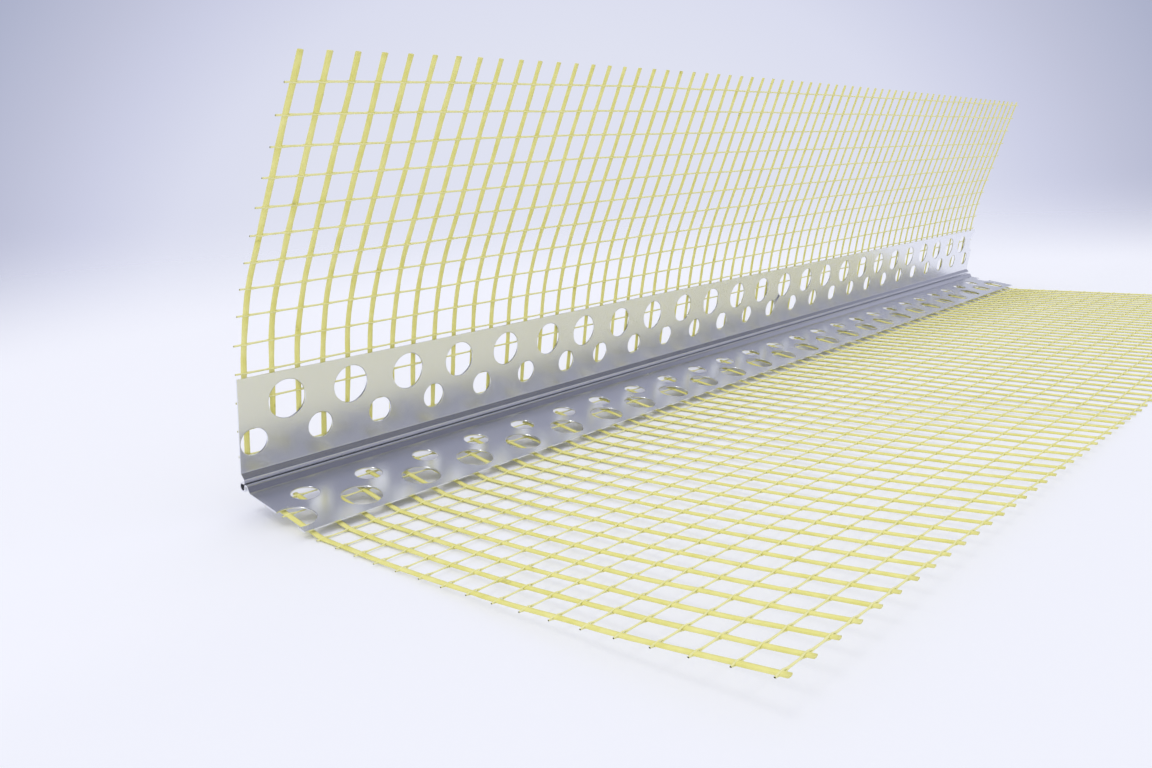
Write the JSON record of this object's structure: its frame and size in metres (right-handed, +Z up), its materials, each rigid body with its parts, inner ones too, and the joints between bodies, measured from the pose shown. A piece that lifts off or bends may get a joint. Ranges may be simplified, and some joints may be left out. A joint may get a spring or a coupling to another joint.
{
  "type": "drywall corner bead with mesh wings",
  "caption": "Perforated aluminium corner bead with a pinched, rounded nose and open glass-fibre mesh wings bonded behind both flanges.",
  "frame": {"origin": "on the floor, under the middle of the bead's footprint", "axes": "+X along the bead, +Z up, -Y the way the flat wing runs out from the corner"},
  "size_m": [0.325, 0.1024, 0.0738],
  "materials": {
    "aluminium": "bright rolled sheet, punched and roll-formed, not painted",
    "coated_glass_fibre": "glass-fibre bundles in an opaque yellow alkali-resistant coating, half matt"
  },
  "bodies": {
    "root": {"corner_profile": "aluminium", "upright_mesh": "coated_glass_fibre", "flat_mesh": "coated_glass_fibre"}
  },
  "joints": []
}
